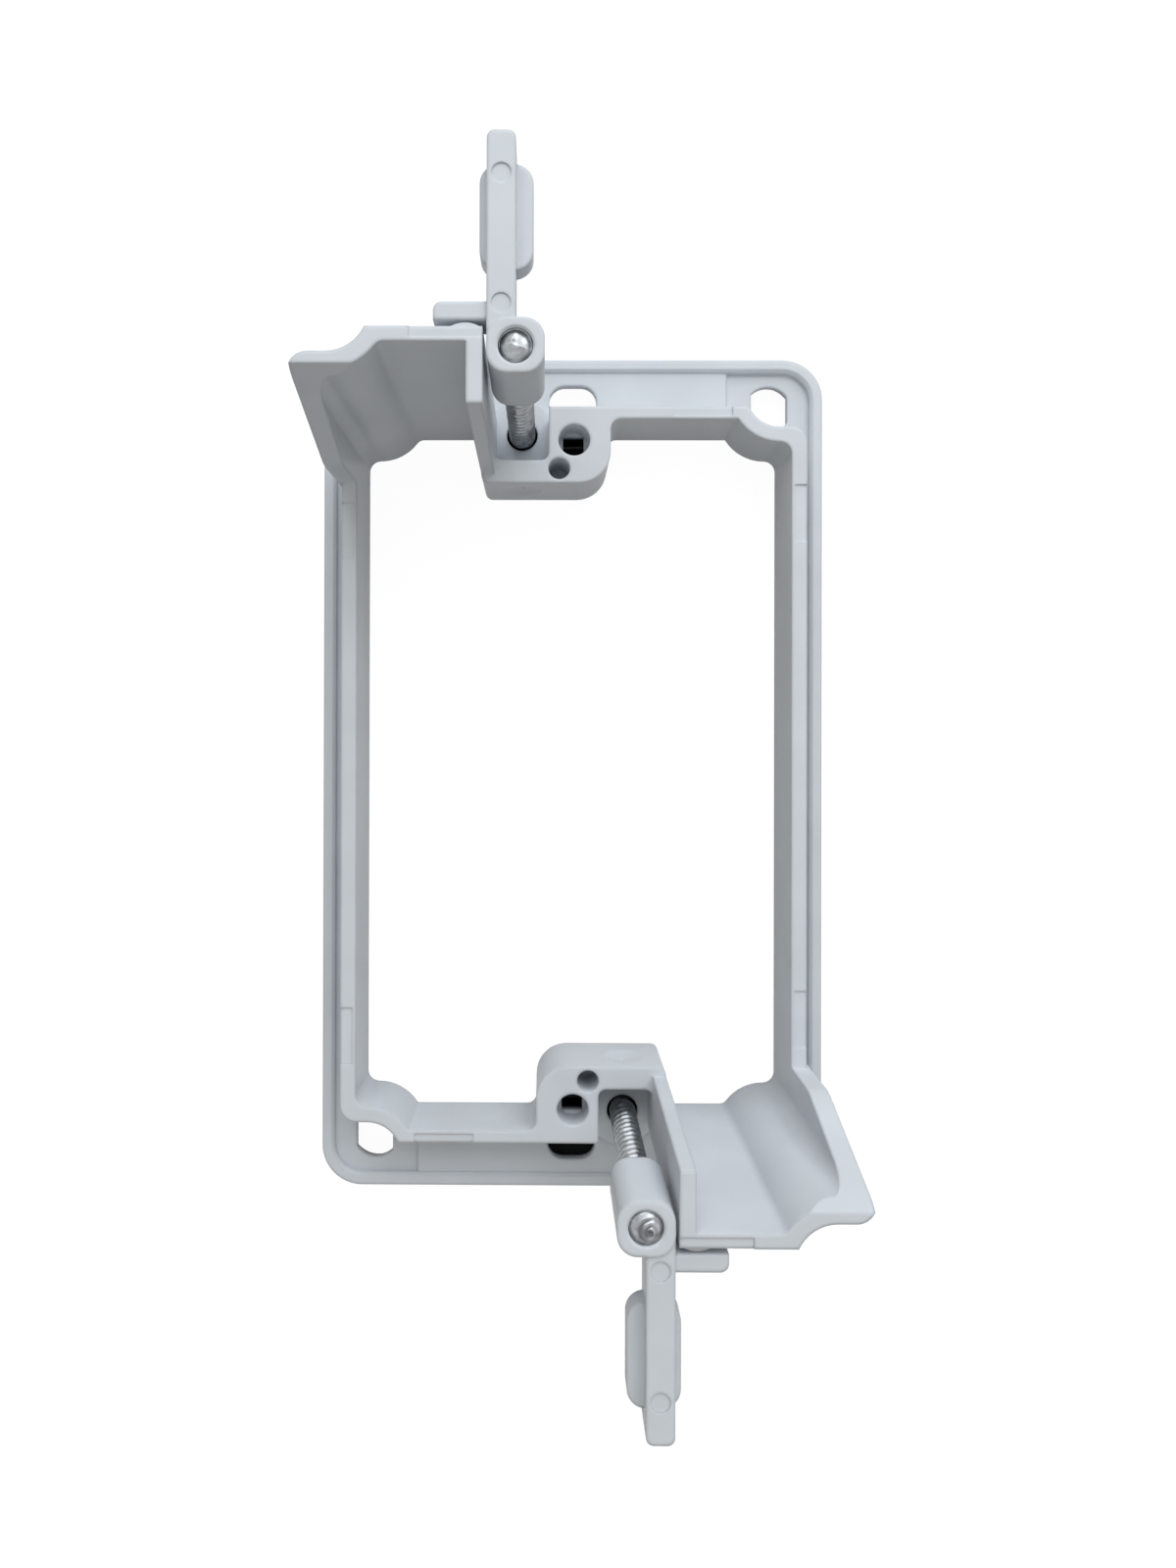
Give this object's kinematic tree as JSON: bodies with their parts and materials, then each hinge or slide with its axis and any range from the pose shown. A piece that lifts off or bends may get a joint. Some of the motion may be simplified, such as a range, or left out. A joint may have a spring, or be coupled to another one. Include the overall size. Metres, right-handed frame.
{
  "type": "low voltage mounting bracket",
  "caption": "Open rectangular wall bracket for a low voltage device, with a flange, a shallow collar, and swinging clamp wings on screws.",
  "frame": {"origin": "centre of the flange's front face, which stands on the floor", "axes": "+X right and +Y up as seen from inside the wall, +Z from the room into the wall"},
  "size_m": [0.065, 0.1308, 0.0347],
  "materials": {
    "plastic": "satin moulded plastic",
    "zinc": "bright zinc plating"
  },
  "bodies": {
    "bracket": {"bracket_frame": "plastic"},
    "upper_screw": {"upper_clamp_screw": "zinc"},
    "upper_wing": {"upper_clamp_wing": "plastic"},
    "lower_screw": {"lower_clamp_screw": "zinc"},
    "lower_wing": {"lower_clamp_wing": "plastic"}
  },
  "joints": [
    {"name": "upper_screw_turn", "type": "hinge", "parent": "bracket", "child": "upper_screw", "pos_m": [-0.0066, 0.0439, 0], "axis": [0, 0, 1], "range_deg": [-180, 0]},
    {"name": "upper_wing_travel", "type": "slide", "parent": "upper_screw", "child": "upper_wing", "axis": [0, 0, -1], "range_m": [0, 0.0202]},
    {"name": "lower_screw_turn", "type": "hinge", "parent": "bracket", "child": "lower_screw", "pos_m": [0.0066, -0.0439, 0], "axis": [0, 0, 1], "range_deg": [-180, 0]},
    {"name": "lower_wing_travel", "type": "slide", "parent": "lower_screw", "child": "lower_wing", "axis": [0, 0, -1], "range_m": [0, 0.0202]}
  ]
}
